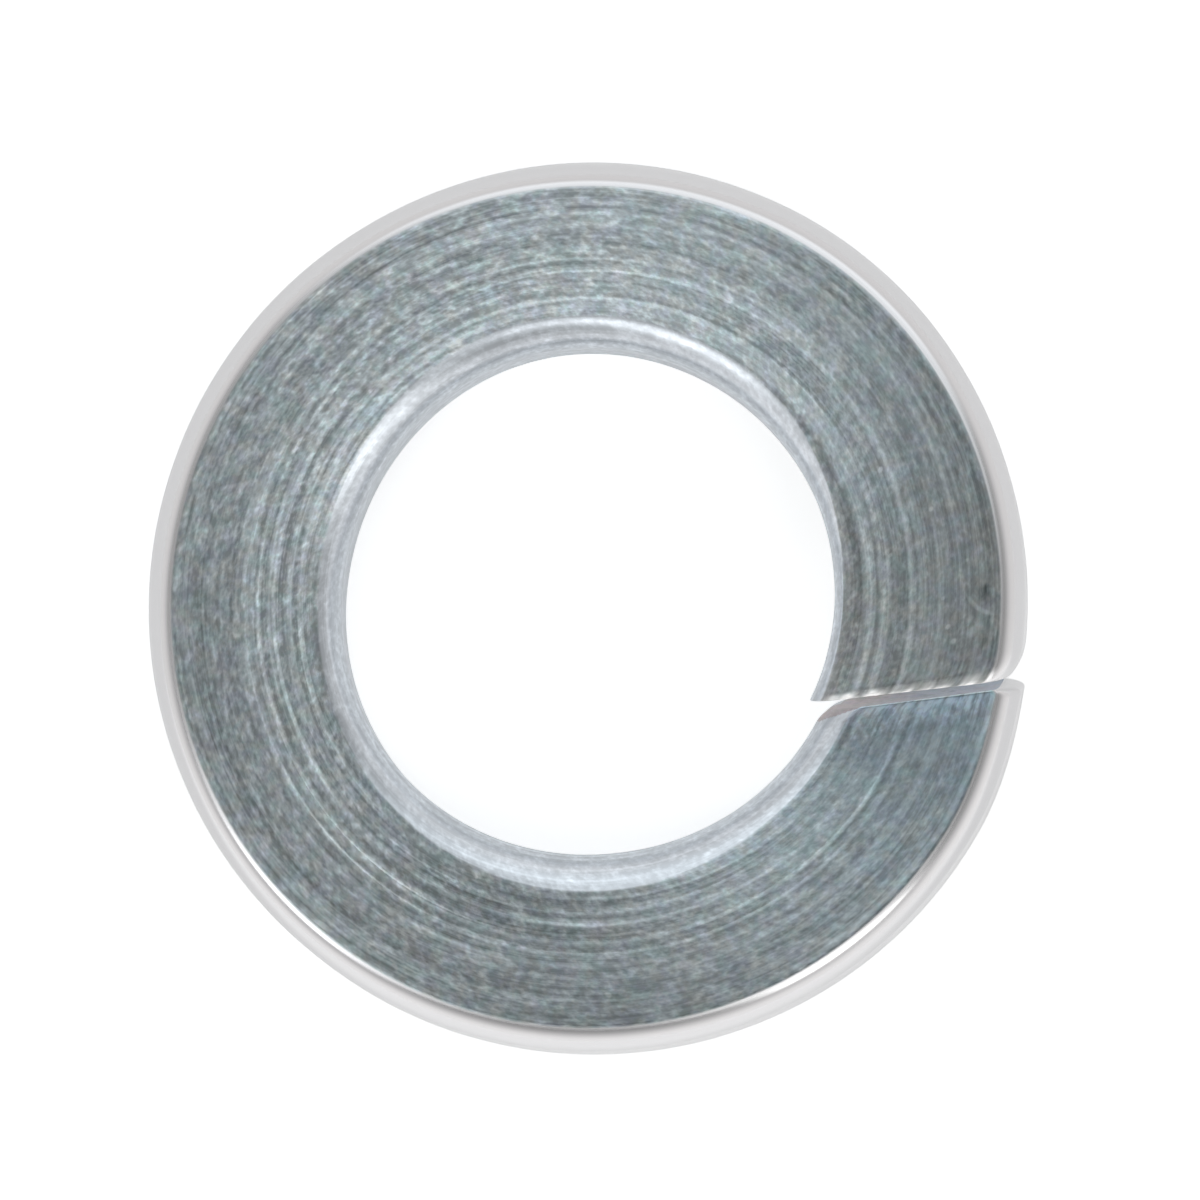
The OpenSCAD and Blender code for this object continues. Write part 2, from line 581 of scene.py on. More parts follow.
    def unevenness(self, place: np.ndarray, spot: np.ndarray) -> np.ndarray:
        """Small swells of the rolled wire, as a sum of slow waves along it and round its outline.

        Args:
            place: Distance along the wire, as a column.
            spot: Share of the way round the outline, as a row.

        Returns:
            The swell of each point outwards.
        """
        waves, usual_sum = 16, 9.0
        chance = np.random.default_rng(self.seed)
        swell = np.zeros(np.broadcast(place, spot).shape)
        for _ in range(waves):
            length, around = chance.uniform(0.9, 5.0), chance.integers(1, 6)
            phase, size = chance.uniform(0.0, 2.0 * math.pi), chance.uniform(0.3, 1.0)
            swell += size * length * np.sin(2.0 * math.pi * (place / length + around * spot) + phase)
        return self.swell * np.clip(swell / usual_sum, -1.0, 1.0)

    def end_marks(self, place: np.ndarray, radius: np.ndarray) -> tuple[np.ndarray, np.ndarray]:
        """The upper face near the high end, which the shear drew down and left with a burr.

        The drop is a smooth step squared. The lip is a shorter step times a sum of waves across the
        wire, and each bead is a bell on it.

        Args:
            place: Distance along the wire, as a column.
            radius: Distance from the axis, as a row.

        Returns:
            The height to add to the upper face, and how torn it is, from 0 to 1.
        """
        waves, lip_jag, run_jag, lip_share, back_share = 14, 0.10, 0.012, 0.55, 0.8
        chance = np.random.default_rng(self.seed + 1)
        from_high = self.length - place
        ragged = np.zeros_like(radius)
        run = np.ones_like(radius)
        for _ in range(waves):
            wave, phase = chance.uniform(0.08, 0.55), chance.uniform(0.0, 2.0 * math.pi)
            ragged = ragged + lip_jag * np.sin(2.0 * math.pi * radius / wave + phase)
            run = run + run_jag * np.sin(2.0 * math.pi * radius / (1.6 * wave) + 2.0 * phase)
        near = smooth(1.0 - from_high / (self.droop_run * run))
        lip = np.clip(lip_share + ragged, 0.05, 1.4) * smooth(1.0 - from_high / self.burr_run)
        height = self.burr * lip - self.droop * near**2
        # How torn it is: rougher, and painted near white as glints on the frayed face, the lip and its
        # beads.
        torn = self.frayed * near * np.clip(0.6 + 0.5 * ragged, 0.0, 1.2) + self.torn_lip * lip
        for bead in self.beads:
            across = (radius - bead.radius) / bead.half_width
            back = (from_high - back_share * self.burr_run) / (back_share * bead.half_width)
            bell = np.exp(-(across**2) - back**2)
            height = height + bead.height * bell
            torn = torn + bell * bead.height / self.bright_bead
        return height, np.clip(torn, 0.0, 1.0)

    def painted_sheen(self, place: np.ndarray, radius: np.ndarray) -> np.ndarray:
        """Painted light and shade at each point, as a share of the plate's colour.

        Painted waves of light and shade round the ring, a rise towards the bore that has waves of its own,
        painted highlights along the drawing lines, and painted light at the low end's cut.

        Args:
            place: Distance along the wire, as a column.
            radius: Distance from the axis, as a row.

        Returns:
            The share, about 1.
        """
        angle = -np.degrees(place / self.mid_r)
        across = (radius - self.bore_r) / (self.rim_r - self.bore_r)
        inner = smooth((self.inner_from - across) / self.inner_blend) - 0.5
        rise = self.inner_sheen + sum(wave.value(angle) for wave in self.inner_sheens)
        # Painted highlights along the drawing lines.
        lines = sum(groove.shine(radius, place / self.length) for groove in self.grooves)
        # Painted light at the low end's cut, where the high end's overhang shades it.
        near_low = self.low_light * np.clip(1.0 - place / self.low_light_run, 0.0, 1.0) ** 2
        # The sum is painted light and shade, not the plate's own brightness.
        return 1.0 + sum(wave.value(angle) for wave in self.painted_sheens) + rise * inner + lines + near_low

    def polish(self, place: np.ndarray, radius: np.ndarray, rounding: np.ndarray) -> np.ndarray:
        """How far each point has turned from satin face into burnished edge, from 0 to 1.

        A smooth step over the first part of each rounding. The bore's starts later, and where it
        does so changes in even waves round the ring.

        Args:
            place: Distance along the wire, as a column.
            radius: Distance from the axis, as a row.
            rounding: How far each outline point has turned from the flat faces, as a row.

        Returns:
            The share at each point.
        """
        turns = place / self.length
        changes = self.bore_starts.value(-np.degrees(place / self.mid_r))
        start = self.bore_start + changes * smooth(turns / self.bore_starts_run)
        start = start + self.high_start * smooth((turns - self.high_start_from) / self.high_start_run)
        at_bore = smooth((rounding - start) / self.bore_onset)
        return np.where(radius > self.mid_r, smooth(rounding / self.rim_onset), at_bore)

    def lead(self, radius: np.ndarray, height: np.ndarray) -> np.ndarray:
        """Angle by which a point leads the middle of its section, so that each section is a flat cut.

        The cut has the slant and the lean of the sheared ends: the slant less the arc sine of the
        cut's distance from the axis over the point's.

        Args:
            radius: Distance of each point from the axis.
            height: Its height over the middle of the wire.

        Returns:
            The angle at each point, in radians.
        """
        slant, lean = math.radians(self.cut_slant), math.radians(self.cut_lean)
        return slant - np.arcsin((self.mid_r * math.sin(slant) + height * math.tan(lean)) / radius)

    def bend(self, place: np.ndarray, radius: np.ndarray, height: np.ndarray) -> np.ndarray:
        """Bends points of the straight wire round the axis.

        A point's angle is its lead less its share of the turn, and it climbs evenly with that angle.

        Args:
            place: Distance along the wire.
            radius: Distance from the axis.
            height: Height over the middle of the wire.

        Returns:
            Points with their three coordinates last.
        """
        rise = self.climb / self.turn
        first = self.lead(radius, height)
        lead = self.lead(radius, height - rise * first)
        share = place / self.length
        angle = lead - self.end_angle - self.turn * share
        z = height + self.climb * (share - 0.5) - rise * lead
        return np.stack([radius * np.cos(angle), radius * np.sin(angle), z], axis=-1)

    def wall(self) -> tuple[np.ndarray, np.ndarray, dict[str, np.ndarray]]:
        """The side of the wire as a grid of sections by outline points.

        Each point moves along its outward direction by the swell and the rounded edge of its place,
        and up by the lines and the end's marks. It is then bent round the axis.

        Returns:
            The points, the straight wire's own coordinates, and the looks of the plate by name.
        """
        marks = tuple((mark.radius, mark.half_width) for mark in (*self.grooves, *self.beads))
        outline = WireOutline(self.bore_r, self.rim_r, self.thickness, marks=marks)
        spots, rounding = outline.points()
        step = np.roll(spots, -1, axis=0) - np.roll(spots, 1, axis=0)
        outward = np.stack([step[:, 1], -step[:, 0]], axis=1)
        outward /= np.linalg.norm(outward, axis=1, keepdims=True)
        place = self.stations()[:, None]
        spot, level = spots[None, :, 0], spots[None, :, 1]
        around = np.arange(len(spots))[None, :] / len(spots)

        upper = (level > 0.0) * (1.0 - rounding[None, :])
        lines = sum(groove.height(spot, place / self.length) for groove in self.grooves)
        end_height, torn = self.end_marks(place, spot)
        from_end = np.minimum(place, self.length - place)
        out = (self.unevenness(place, around) - self.swell) * smooth(from_end / self.end_zone)
        out = out - self.edge_inset(from_end)
        shift = upper * self.face_shift.value(-np.degrees(place / self.mid_r))
        radius = spot + out * outward[None, :, 0] + shift
        height = level + out * outward[None, :, 1] + upper**2 * (lines + end_height)
        points = self.bend(place, self.bent_radius(radius, place), height)
        own = np.stack([place + 0.0 * radius, radius, height], axis=-1)
        polish = self.polish(place, spot, rounding[None, :])
        return points, own, {POLISH: polish, PAINTED_SHEEN: self.painted_sheen(place, spot), TORN_AND_GLINT: upper * torn}

    def cap(self, rim: np.ndarray, end: WireEnd) -> np.ndarray:
        """Rings that close a sheared end, each the last one drawn in towards the middle.

        The upper part was cut clean and the lower part tore, so the torn part lies a little deeper
        and is grainy: a sum of waves across the face in many directions.

        Args:
            rim: Points of the wire's last section.
            end: Which end it is.

        Returns:
            Rings from the edge inwards, without the middle point.
        """
        waves, smooth_edge = 40, 0.11
        middle = rim.mean(axis=0)
        rings = middle + np.multiply.outer(self.cap_shares, rim - middle)
        axes = np.linalg.svd(rim - middle, full_matrices=False)[2]
        inward = axes[2] * np.sign(axes[2] @ (self.inside(end) - middle))
        chance = np.random.default_rng(self.seed + (2 if end is WireEnd.LOW else 3))
        flat = (rings - middle) @ axes[:2].T
        upright = (rings - middle) @ np.array([0.0, 0.0, 1.0])
        grain = np.zeros(rings.shape[:2])
        for _ in range(waves):
            turn, wave = chance.uniform(0.0, math.pi), chance.uniform(0.07, 0.4)
            across = flat @ np.array([math.cos(turn), math.sin(turn)])
            grain += wave * np.sin(2.0 * math.pi * across / wave + chance.uniform(0.0, 2.0 * math.pi))
        wander = 0.07 * np.sin(5.0 * flat[..., 0]) + 0.04 * np.sin(13.0 * flat[..., 0] + 1.0)
        torn = smooth(0.5 + (self.torn_from - upright + wander) / self.torn_blend)
        from_edge = smooth((1.0 - self.cap_shares) / smooth_edge)[:, None]
        depth = from_edge * torn * (self.torn_depth + self.torn_grain * grain)
        return rings + inward * depth[..., None]

    def inside(self, end: WireEnd) -> np.ndarray:
        """A point in the middle of the wire, a little way from one of its ends.

        Args:
            end: Which end it is.

        Returns:
            The point.
        """
        inset = 0.5
        place = inset if end is WireEnd.LOW else self.length - inset
        return self.bend(np.array(place), np.array(self.mid_r), np.array(0.0))

    def build(self) -> bpy.types.Object:
        """Makes the washer's mesh object: the wall, and at each end rings that shrink to a middle point.

        Returns:
            The object, at the origin, in metres.
        """
        wall, own, looks = self.wall()
        sides = wall.shape[1]
        low = self.cap(wall[0], WireEnd.LOW)[::-1]
        high = self.cap(wall[-1], WireEnd.HIGH)
        grid = np.concatenate([low, wall, high])
        poles = np.stack([low[0].mean(axis=0), high[-1].mean(axis=0)])
        self.points = np.concatenate([grid.reshape(-1, 3), poles])

        ring = np.arange(sides)
        after = (ring + 1) % sides
        low_pole, last = len(grid) * sides, (len(grid) - 1) * sides
        low_fan = np.stack([np.full(sides, low_pole), ring, after], axis=1)
        high_fan = np.stack([np.full(sides, low_pole + 1), last + after, last + ring], axis=1)
        mesh = self.mesh_from(ring_quads(len(grid), sides), np.concatenate([low_fan, high_fan]))
        mesh.polygons.foreach_set("material_index", self.sheared(own))
        for name, values in {WIRE_COORDINATES: own, **looks}.items():
            self.write(mesh, name, self.over_caps(values))
        piece = bpy.data.objects.new("washer_coil", mesh)
        bpy.context.scene.collection.objects.link(piece)
        return piece

    def sheared(self, own: np.ndarray) -> np.ndarray:
        """Which of the mesh's faces the shear made: both caps, and the corner that it dragged.

        Args:
            own: The straight wire's own coordinates, by section and outline point.

        Returns:
            1 for each such face and 0 for the others.
        """
        place, radius, height = np.moveaxis(own[:-1], -1, 0)
        away = place / self.dragged[0] + (radius - self.bore_r) / self.dragged[1]
        wall = ((away < 1.0) & (height > 0.0)).ravel()
        sides = own.shape[1]
        cap, fans = np.ones(self.cap_rings * sides, dtype=bool), np.ones(2 * sides, dtype=bool)
        return np.concatenate([cap, wall, cap, fans]).astype(np.int32)

    def over_caps(self, values: np.ndarray) -> np.ndarray:
        """Values of the wall, carried on over both caps and drawn in towards the value of each middle.

        Args:
            values: Numbers or vectors, by section and outline point.

        Returns:
            One for each vertex of the mesh.
        """
        ends = values[[0, -1]]
        middles = ends.mean(axis=1)
        low, high = (
            middle + np.multiply.outer(self.cap_shares, end - middle) for middle, end in zip(middles, ends)
        )
        every = np.concatenate([low[::-1], values, high]).reshape(-1, *values.shape[2:])
        return np.concatenate([every, middles])

    def mesh_from(self, quads: np.ndarray, triangles: np.ndarray) -> bpy.types.Mesh:
        """A smooth-shaded mesh in metres from this washer's points.

        Args:
            quads: The four-sided faces, as rows of point numbers.
            triangles: The three-sided faces, as rows of point numbers.

        Returns:
            The mesh.
        """
        corners = np.concatenate([quads.ravel(), triangles.ravel()]).astype(np.int32)
        sizes = np.concatenate([np.full(len(quads), 4), np.full(len(triangles), 3)])
        starts = np.concatenate([[0], np.cumsum(sizes)[:-1]]).astype(np.int32)
        mesh = bpy.data.meshes.new("washer_coil")
        mesh.vertices.add(len(self.points))
        mesh.vertices.foreach_set("co", (self.points * MM).astype(np.float32).ravel())
        mesh.loops.add(len(corners))
        mesh.loops.foreach_set("vertex_index", corners)
        mesh.polygons.add(len(sizes))
        mesh.polygons.foreach_set("loop_start", starts)
        mesh.polygons.foreach_set("use_smooth", np.ones(len(sizes), dtype=bool))
        mesh.update(calc_edges=True)
        mesh.validate()
        return mesh

    def write(self, mesh: bpy.types.Mesh, name: str, values: np.ndarray) -> None:
        """Stores one value or vector for each vertex under a name.

        Args:
            mesh: The mesh.
            name: The name that materials read them by.
            values: A number or a row of three for each vertex.
        """
        kind, key = ("FLOAT_VECTOR", "vector") if values.ndim == 2 else ("FLOAT", "value")
        attribute = mesh.attributes.new(name, kind, "POINT")
        attribute.data.foreach_set(key, values.astype(np.float32).ravel())

    def triangles(self, mesh: bpy.types.Mesh) -> np.ndarray:
        """The mesh's triangles, with each four-sided face as two.

        Args:
            mesh: The mesh.

        Returns:
            Rows of three vertex numbers.
        """
        mesh.calc_loop_triangles()
        found = np.zeros(3 * len(mesh.loop_triangles), dtype=np.int32)
        mesh.loop_triangles.foreach_get("vertices", found)
        return found.reshape(-1, 3)


class Sheet:
    """Short ways to add nodes to one node tree and join them."""

    def __init__(self, tree: bpy.types.NodeTree) -> None:
        """Starts on an empty tree.

        Args:
            tree: The tree that the nodes go into.
        """
        self.tree = tree
        tree.nodes.clear()

    def put(self, socket: bpy.types.NodeSocket, value: object) -> None:
        """Joins a socket to another, or sets it to a plain value.

        Args:
            socket: The socket that takes the value.
            value: Another node's socket, or the plain value.
        """
        if isinstance(value, bpy.types.NodeSocket):
            self.tree.links.new(value, socket)
        else:
            socket.default_value = value

    def node(self, kind: str, inputs: dict | None = None, **settings: object) -> bpy.types.Node:
        """Adds a node.

        Args:
            kind: Its type, without the leading ShaderNode.
            inputs: Values or sockets for its inputs, by name or number.
            settings: Its own properties.

        Returns:
            The node.
        """
        made = self.tree.nodes.new(kind if kind.startswith("Node") else f"ShaderNode{kind}")
        for name, value in settings.items():
            setattr(made, name, value)
        for name, value in (inputs or {}).items():
            self.put(made.inputs[name], value)
        return made

    def math(self, operation: str, *values: object) -> bpy.types.NodeSocket:
        """The result of a sum on up to three values."""
        return self.node("Math", dict(enumerate(values)), operation=operation).outputs[0]

    def vector(self, operation: str, *values: object) -> bpy.types.NodeSocket:
        """The vector result of a sum on up to three vectors."""
        return self.node("VectorMath", dict(enumerate(values)), operation=operation).outputs["Vector"]

    def dot(self, vector: bpy.types.NodeSocket, axis: np.ndarray) -> bpy.types.NodeSocket:
        """How far a vector reaches along an axis."""
        sockets = {0: vector, 1: tuple(float(part) for part in axis)}
        return self.node("VectorMath", sockets, operation="DOT_PRODUCT").outputs["Value"]

    def distance(self, vector: bpy.types.NodeSocket, point: tuple[float, ...]) -> bpy.types.NodeSocket:
        """How far a vector is from a point."""
        return self.node("VectorMath", {0: vector, 1: point}, operation="DISTANCE").outputs["Value"]

    def between(
        self, value: object, low: float, high: float, start: float = 0.0, end: float = 1.0
    ) -> bpy.types.NodeSocket:
        """A smooth step from start to end as a value goes from low to high."""
        sockets = {"Value": value, "From Min": low, "From Max": high, "To Min": start, "To Max": end}
        return self.node("MapRange", sockets, interpolation_type="SMOOTHSTEP").outputs["Result"]

    def noise(
        self, at: object, scale: object, detail: float = 2.0, rough: float = 0.5
    ) -> bpy.types.NodeSocket:
        """The value of a noise at a place, from about 0.2 to 0.8."""
        sockets = {"Vector": at, "Scale": scale, "Detail": detail, "Roughness": rough}
        return self.node("TexNoise", sockets, noise_dimensions="3D").outputs[0]

    def mix(self, share: object, first: object, second: object, blend: str = "MIX") -> bpy.types.NodeSocket:
        """Two colours mixed.

        Args:
            share: Share of the second colour, or how strongly it is blended in.
            first: The first colour: a socket, or three numbers.
            second: The second one, in the same way.
            blend: How they are mixed.

        Returns:
            The mixed colour.
        """
        made = self.node("Mix", data_type="RGBA", blend_type=blend)
        self.put(made.inputs["Factor"], share)
        for name, value in (("A", first), ("B", second)):
            socket = next(s for s in made.inputs if s.name == name and s.type == "RGBA")
            self.put(socket, (*value, 1.0) if isinstance(value, tuple) else value)
        return next(s for s in made.outputs if s.type == "RGBA")

    def attribute(self, name: str) -> bpy.types.Node:
        """The node that reads one of the mesh's own attributes."""
        return self.node("Attribute", attribute_name=name, attribute_type="GEOMETRY")

    def scaled(self, vector: bpy.types.NodeSocket, share: object) -> bpy.types.NodeSocket:
        """A vector or a colour times one number.

        Args:
            vector: The vector or the colour.
            share: The number, or a socket that gives it.

        Returns:
            The product.
        """
        made = self.vector("SCALE", vector)
        self.put(made.node.inputs["Scale"], share)
        return made

    def place(self) -> bpy.types.NodeSocket:
        """The place on the washer, in mm."""
        return self.scaled(self.node("TexCoord").outputs["Object"], 1.0 / MM)

    def bump(self, height: bpy.types.NodeSocket) -> bpy.types.NodeSocket:
        """The normal that a height in mm gives the surface."""
        return self.node("Bump", {"Height": height, "Strength": 1.0, "Distance": MM}).outputs[0]

    def end(self, shader: bpy.types.Node, kind: str = "Material") -> None:
        """Joins a shader to the tree's output."""
        self.put(self.node(f"Output{kind}").inputs["Surface"], shader.outputs[0])

    def metal(self, colour: object, rough: object, normal: object) -> None:
        """Ends the tree with a bare metal surface."""
        inputs = {"Base Color": colour, "Metallic": 1.0, "Roughness": rough, "Normal": normal}
        self.end(self.node("BsdfPrincipled", inputs))


class Effect:
    """A node group that more than one finish uses, built once."""

    def __init__(self, name: str, inputs: dict[str, str], outputs: dict[str, str]) -> None:
        """Makes the group with its named sockets.

        Args:
            name: What the effect is.
            inputs: Socket types by name.
            outputs: Socket types by name.
        """
        self.tree = bpy.data.node_groups.new(name, "ShaderNodeTree")
        self.sheet = Sheet(self.tree)
        for side, sockets in (("INPUT", inputs), ("OUTPUT", outputs)):
            for label, kind in sockets.items():
                self.tree.interface.new_socket(label, in_out=side, socket_type=f"NodeSocket{kind}")
        self.start = self.sheet.node("NodeGroupInput")
        self.end = self.sheet.node("NodeGroupOutput")

    def use(self, sheet: Sheet, **inputs: object) -> bpy.types.Node:
        """Places the effect in a material.

        Args:
            sheet: The material's sheet.
            inputs: Values or sockets by name, with _ for a space.

        Returns:
            The group's node.
        """
        made = sheet.node("Group", node_tree=self.tree)
        for name, value in inputs.items():
            sheet.put(made.inputs[name.replace("_", " ")], value)
        return made


def plate_grain() -> Effect:
    """The grain of bright zinc plate: fine crystals with larger soft patches.

    Returns:
        The effect. It takes a place in mm, the size of a crystal and the height of the grain, and gives
        a height in mm and a shade about 0.
    """
    made = Effect(
        "plate_grain",
        {"Place": "Vector", "Crystal": "Float", "Depth": "Float"},
        {"Height": "Float", "Shade": "Float"},
    )
    sheet, start, end = made.sheet, made.start, made.end
    patches_per_crystal, patch_weight = 0.33, 0.7
    spark_from, spark_gain, darkest_spot = 0.07, 0.4, -0.16
    scale = sheet.math("DIVIDE", 1.0, start.outputs["Crystal"])
    fine = sheet.noise(start.outputs["Place"], scale, 2.0, 0.55)
    coarse = sheet.noise(start.outputs["Place"], sheet.math("MULTIPLY", scale, patches_per_crystal))
    centred = sheet.math("SUBTRACT", fine, 0.5)
    soft = sheet.math("SUBTRACT", coarse, 0.5)
    both = sheet.math("MULTIPLY_ADD", soft, patch_weight, centred)
    sheet.put(end.inputs["Height"], sheet.math("MULTIPLY", both, start.outputs["Depth"]))
    sparks = sheet.math("MAXIMUM", sheet.math("SUBTRACT", both, spark_from), 0.0)
    held = sheet.math("MAXIMUM", both, darkest_spot)
    sheet.put(end.inputs["Shade"], sheet.math("MULTIPLY_ADD", sparks, spark_gain, held))
    return made


def plate_tint() -> Effect:
    """The faint colours of zinc plate: teal, lavender and warm grey in small soft patches.

    Returns:
        The effect. It takes a place in mm, the plate's own colour and how much to tint it, and gives
        the tinted colour.
    """
    made = Effect(
        "plate_tint",
        {"Place": "Vector", "Plate": "Color", "Amount": "Float"},
        {"Color": "Color"},
    )
    sheet, start, end = made.sheet, made.start, made.end
    place, amount = start.outputs["Place"], start.outputs["Amount"]
    colour = start.outputs["Plate"]
    tints = ((0.915, 1.0, 0.98), (0.99, 0.97, 1.042), (1.048, 0.996, 0.953))
    patches_per_mm, patch_edge = 4.2, (0.46, 0.62)
    for number, tint in enumerate(tints):
        moved = sheet.vector("ADD", place, (11.0 * number, 5.0 * number, 3.0))
        patch = sheet.noise(moved, patches_per_mm, 4.0, 0.68)
        share = sheet.math("MULTIPLY", sheet.between(patch, *patch_edge), amount)
        colour = sheet.mix(share, colour, sheet.mix(1.0, colour, tint, "MULTIPLY"))
    sheet.put(end.inputs["Color"], colour)
    return made


@dataclass(frozen=True)
class Fleck:
    """A small mark on the upper face: a round spot.

    Attributes:
        place: Distance along the wire from its low end, in mm.
        radius: Distance from the axis, in mm.
        size: Distance from its middle at which it has faded, in mm.
        light: Share by which the plate is brighter in it. A negative share is a dark spot.
    """

    place: float
    radius: float
    size: float
    light: float


@dataclass(frozen=True)
class Scratch:
    """A curved scratch on the upper face: a part of a circle.

    Attributes:
        place: Distance of the circle's middle along the wire from its low end, in mm.
        radius: Distance of that middle from the axis, in mm.
        reach: Radius of the circle, in mm.
        towards: Direction from that middle to the scratch, in degrees, from along the wire to outwards.
        span: Half the angle that the scratch covers, in degrees.
        half_width: Half its width, in mm.
        light: Share by which the plate is brighter in it.
    """

    place: float
    radius: float
    reach: float
    towards: float
    span: float
    half_width: float
    light: float


@dataclass(frozen=True)
class DrawnZinc:
    """Bright zinc plate over drawn wire: satin flat faces with drawing lines, and burnished edges.

    Attributes:
        washer: The washer that it covers.
        plate: Colour that the satin faces reflect.
        rim_plate: Colour that the burnished edge along the rim reflects.
        bore_plate: Colour that the burnished edge along the bore reflects.
        bore_shade: Share of the grain that still shows on the edge along the bore.
        edge_blend: Half the distance across the wire over which one edge's look turns into the other's.
        satin_until: How burnished the face may be where the satin look starts and ends fading.
        rough_until: The same for the face's roughness.
        low_tint: What the plate's colour is multiplied by at the low end.
        high_tint: The same at the high end.
        end_reach: Length of wire over which those tints fade, in mm.
        face_roughness: Roughness of the flat faces.
        rim_roughness: Roughness of the rounding along the rim.
        bore_roughness: Roughness of the rounding along the bore.
        torn_glint_plate: Near-white colour of the lip and its beads: painted glints on them.
        torn_roughness: Their roughness.
        crystal: Size of the plate's grain, in mm.
        grain_stretch: What the wire's own coordinates are multiplied by for the grain.
        grain_depth: Height of the grain, in mm.
        line_depth: Height of the fine drawing lines, in mm.
        burnished_depth: Share of those heights that is left where the plate is burnished.
        fine_lines: Waves per mm of the fine drawing lines, along the wire, across it and up.
        broad_lines: The same for the broad streaks.
        line_patches: The same for the patches in which the lines are clear.
        patch_edge: Values of those patches between which the lines grow clear.
        faint_lines: Strength of the lines outside the patches.
        grain_shade: How much the grain changes the plate's brightness.
        line_shade: How much the fine drawing lines change it.
        band_shade: How much the broad streaks along the wire change it.
        grain_gloss: How much the grain changes the roughness.
        darkest: Least share to which all of these may darken the plate.
        brightest: Greatest share to which they may brighten it.
        flecks: The small spots on the upper face.
        scratches: The scratches on it.
    """

    washer: LockWasher
    plate: Colour = (0.368, 0.407, 0.419)
    rim_plate: Colour = (0.643, 0.636, 0.640)
    bore_plate: Colour = (0.615, 0.65, 0.685)
    bore_shade: float = 0.5
    edge_blend: float = 0.3
    satin_until: Span = (0.0, 0.3)
    rough_until: Span = (0.2, 1.0)
    low_tint: Colour = (0.93, 1.0, 1.03)
    high_tint: Colour = (1.035, 1.0, 0.97)
    end_reach: float = 4.5
    face_roughness: float = 0.31
    rim_roughness: float = 0.17
    bore_roughness: float = 0.36
    torn_glint_plate: Colour = (0.97, 0.965, 0.95)
    torn_roughness: float = 0.62
    crystal: float = 0.066
    grain_stretch: tuple[float, float, float] = (0.62, 1.0, 1.0)
    grain_depth: float = 0.0012
    line_depth: float = 0.0012
    burnished_depth: float = 0.12
    fine_lines: tuple[float, float, float] = (0.13, 13.0, 13.0)
    broad_lines: tuple[float, float, float] = (0.10, 4.0, 4.0)
    line_patches: tuple[float, float, float] = (0.22, 0.9, 0.9)
    patch_edge: Span = (0.36, 0.62)
    faint_lines: float = 0.45
    grain_shade: float = 1.25
    line_shade: float = 1.8
    band_shade: float = 0.95
    grain_gloss: float = 0.2
    darkest: float = 0.6
    brightest: float = 2.3
    flecks: tuple[Fleck, ...] = (
        Fleck(27.24, 4.72, 0.045, 0.55),
        Fleck(27.44, 4.81, 0.05, 0.5),
        Fleck(26.86, 4.63, 0.035, 0.35),
        Fleck(26.39, 4.77, 0.035, 0.3),
        Fleck(26.53, 4.96, 0.03, 0.3),
        Fleck(25.72, 4.60, 0.04, 0.5),
        Fleck(24.81, 4.13, 0.05, 0.5),
        Fleck(25.94, 3.97, 0.04, 0.4),
        Fleck(27.39, 5.02, 0.09, 0.4),
        Fleck(26.97, 5.16, 0.12, -0.3),
        Fleck(1.94, 5.63, 0.03, -0.5),
        Fleck(5.13, 5.5, 0.03, -0.5),
        Fleck(5.77, 5.01, 0.05, 0.4),
    )
    scratches: tuple[Scratch, ...] = (
        Scratch(26.75, 5.42, 0.5, -42.0, 25.0, 0.024, 0.35),
        Scratch(5.97, 5.56, 0.07, 200.0, 110.0, 0.012, -0.3),
    )

    def mark_light(self, sheet: Sheet, wire: bpy.types.NodeSocket) -> bpy.types.NodeSocket:
        """The share that all flecks and scratches add to the plate's brightness.

        Args:
            sheet: The material's sheet.
            wire: The straight wire's own coordinates: along it, from the axis, and up.

        Returns:
            The sum of the marks.
        """
        core, sharp, faded, tip = 0.4, 0.3, 1.6, 0.05
        level = self.washer.thickness / 2.0
        total = 0.0
        for fleck in self.flecks:
            away = sheet.distance(wire, (fleck.place, fleck.radius, level))
            spot = sheet.between(away, core * fleck.size, fleck.size, fleck.light, 0.0)
            total = sheet.math("ADD", spot, total)
        for scratch in self.scratches:
            middle = (scratch.place, scratch.radius, level)
            off = sheet.math("ABSOLUTE", sheet.math("SUBTRACT", sheet.distance(wire, middle), scratch.reach))
            half = scratch.half_width
            line = sheet.between(off, sharp * half, faded * half, scratch.light, 0.0)
            angle = math.radians(scratch.towards)
            aim = np.array([math.cos(angle), math.sin(angle), 0.0]) / scratch.reach
            ahead = sheet.dot(sheet.vector("SUBTRACT", wire, middle), aim)
            limit = math.cos(math.radians(scratch.span))
            part = sheet.between(ahead, limit - tip, limit + tip)
            total = sheet.math("MULTIPLY_ADD", line, part, total)
        return total

    def material(self, grain: Effect, tint: Effect) -> bpy.types.Material:
        """Builds the material.

        Args:
            grain: The plate's grain.
            tint: The plate's faint colours.

        Returns:
            The material.
        """
        made = bpy.data.materials.new("drawn_zinc")
        made.use_nodes = True
        sheet = Sheet(made.node_tree)
        place = sheet.place()
        wire = sheet.attribute(WIRE_COORDINATES).outputs["Vector"]
        along, radius, _ = sheet.node("SeparateXYZ", {0: wire}).outputs
        polish, painted_sheen, torn = (sheet.attribute(name).outputs["Fac"] for name in (POLISH, PAINTED_SHEEN, TORN_AND_GLINT))
        satin = sheet.between(polish, *self.satin_until, 1.0, 0.0)
        middle, blend = self.washer.mid_r, self.edge_blend
        at_rim = sheet.between(radius, middle - blend, middle + blend)

        line, wide = self.lines(sheet, wire)
        drawn_out = sheet.vector("MULTIPLY", wire, self.grain_stretch)
        plating = grain.use(sheet, Place=drawn_out, Crystal=self.crystal, Depth=self.grain_depth)
        height = sheet.math("MULTIPLY_ADD", line, self.line_depth, plating.outputs["Height"])
        left = sheet.math("MULTIPLY_ADD", satin, 1.0 - self.burnished_depth, self.burnished_depth)
        height = sheet.math("MULTIPLY", height, left)

